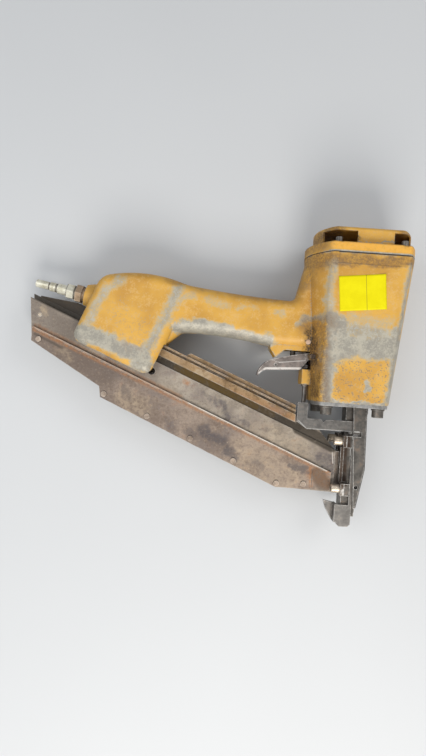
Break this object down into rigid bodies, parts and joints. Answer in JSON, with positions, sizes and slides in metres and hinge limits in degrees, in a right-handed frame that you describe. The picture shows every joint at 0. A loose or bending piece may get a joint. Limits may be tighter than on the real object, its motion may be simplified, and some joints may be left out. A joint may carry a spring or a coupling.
{
  "type": "pneumatic strip nailer",
  "caption": "Air-driven framing nailer with a cast body, waisted grip, slanted strip magazine, spring-loaded pusher, trigger and sliding contact arm at the nose.",
  "frame": {"origin": "centre of the muzzle, where the driver blade leaves the nose", "axes": "+Y up the drive axis to the cap, +X to the front, +Z to the tool's right side, which is up as it lies"},
  "size_m": [0.439, 0.3375, 0.1],
  "materials": {
    "cast_paint": "worn satin paint",
    "magazine_steel": "dull, tarnished",
    "dark_steel": "dark phosphate, worn edges",
    "fastener_steel": "dull plating",
    "spring_steel": "oiled",
    "seal_rubber": "matte",
    "bare_alloy": "machined",
    "trigger_steel": "worn bright",
    "hard_steel": "ground",
    "valve_plastic": "moulded",
    "bushing_brass": "tarnished",
    "plug_steel": "plated, dull"
  },
  "bodies": {
    "frame": {"housing": "cast_paint", "cap_gasket": "seal_rubber", "cylinder_cap": "cast_paint", "cap_screws": "fastener_steel", "exhaust_deflector": "cast_paint", "deflector_screw": "fastener_steel", "cylinder_sleeve": "bare_alloy", "sleeve_rings": "seal_rubber", "bumper": "seal_rubber", "head_valve_spring": "spring_steel", "valve_body": "bare_alloy", "valve_rings": "seal_rubber", "valve_spring": "spring_steel", "valve_lock_pin": "fastener_steel", "trigger_pin": "fastener_steel", "contact_spring": "spring_steel", "nose_body": "dark_steel", "nose_plate": "dark_steel", "nose_bolts": "fastener_steel", "nose_washers": "fastener_steel", "nose_side_plate": "dark_steel", "magazine_channel": "magazine_steel", "cover_right": "magazine_steel", "cover_left": "magazine_steel", "magazine_rivets": "fastener_steel", "rail_right": "magazine_steel", "rail_left": "magazine_steel", "top_strip": "magazine_steel", "hanger": "dark_steel", "hanger_bolt": "fastener_steel", "nail_latch": "spring_steel", "nail_latch_pin": "fastener_steel", "magazine_ear": "dark_steel", "plate_bolts": "fastener_steel", "plate_washers": "fastener_steel", "air_bushing": "bushing_brass", "air_plug": "plug_steel"},
    "drive_piston": {"piston": "bare_alloy", "piston_ring": "valve_plastic", "driver_blade": "hard_steel"},
    "main_valve": {"head_valve": "valve_plastic", "head_valve_ring": "seal_rubber"},
    "trigger_arm": {"trigger": "trigger_steel", "lever_pin": "fastener_steel"},
    "contact_lever": {"trigger_lever": "dark_steel"},
    "trigger_stem": {"valve_stem": "hard_steel"},
    "contact_arm": {"contact_foot": "dark_steel", "contact_bracket": "dark_steel", "contact_rod": "dark_steel"},
    "nail_pusher": {"pusher": "dark_steel", "pusher_spring": "spring_steel"}
  },
  "joints": [
    {"name": "piston_drive", "type": "slide", "parent": "frame", "child": "drive_piston", "axis": [0, -1, 0], "range_m": [0, 0.105]},
    {"name": "head_valve_lift", "type": "slide", "parent": "frame", "child": "main_valve", "axis": [0, 1, 0], "range_m": [0, 0.005], "stiffness_N_per_m": 2000, "springref_m": -0.005, "deforming": ["head_valve_spring"]},
    {"name": "trigger_pull", "type": "hinge", "parent": "frame", "child": "trigger_arm", "pos_m": [-0.0506, 0.1815, 0], "axis": [0, 0, -1], "range_deg": [0, 10], "stiffness_Nm_per_rad": 1, "springref_deg": -11.46},
    {"name": "lever_swing", "type": "hinge", "parent": "trigger_arm", "child": "contact_lever", "pos_m": [-0.092, 0.1695, 0], "axis": [0, 0, 1], "range_deg": [0, 16.4]},
    {"name": "stem_lift", "type": "slide", "parent": "frame", "child": "trigger_stem", "axis": [0, 1, 0], "range_m": [0, 0.0041], "deforming": ["valve_spring"]},
    {"name": "contact_slide", "type": "slide", "parent": "frame", "child": "contact_arm", "axis": [0, 1, 0], "range_m": [0, 0.01], "stiffness_N_per_m": 600, "springref_m": -0.012, "deforming": ["contact_spring"]},
    {"name": "pusher_slide", "type": "slide", "parent": "frame", "child": "nail_pusher", "axis": [-0.9252, 0.3795, 0], "range_m": [0, 0.2], "stiffness_N_per_m": 20, "springref_m": -0.5}
  ],
  "couplings": [
    {"joint": "lever_swing", "follows": "contact_slide", "rad_per_m": 28.6},
    {"joint": "stem_lift", "follows": "trigger_pull", "m_per_rad": 0.02345}
  ]
}
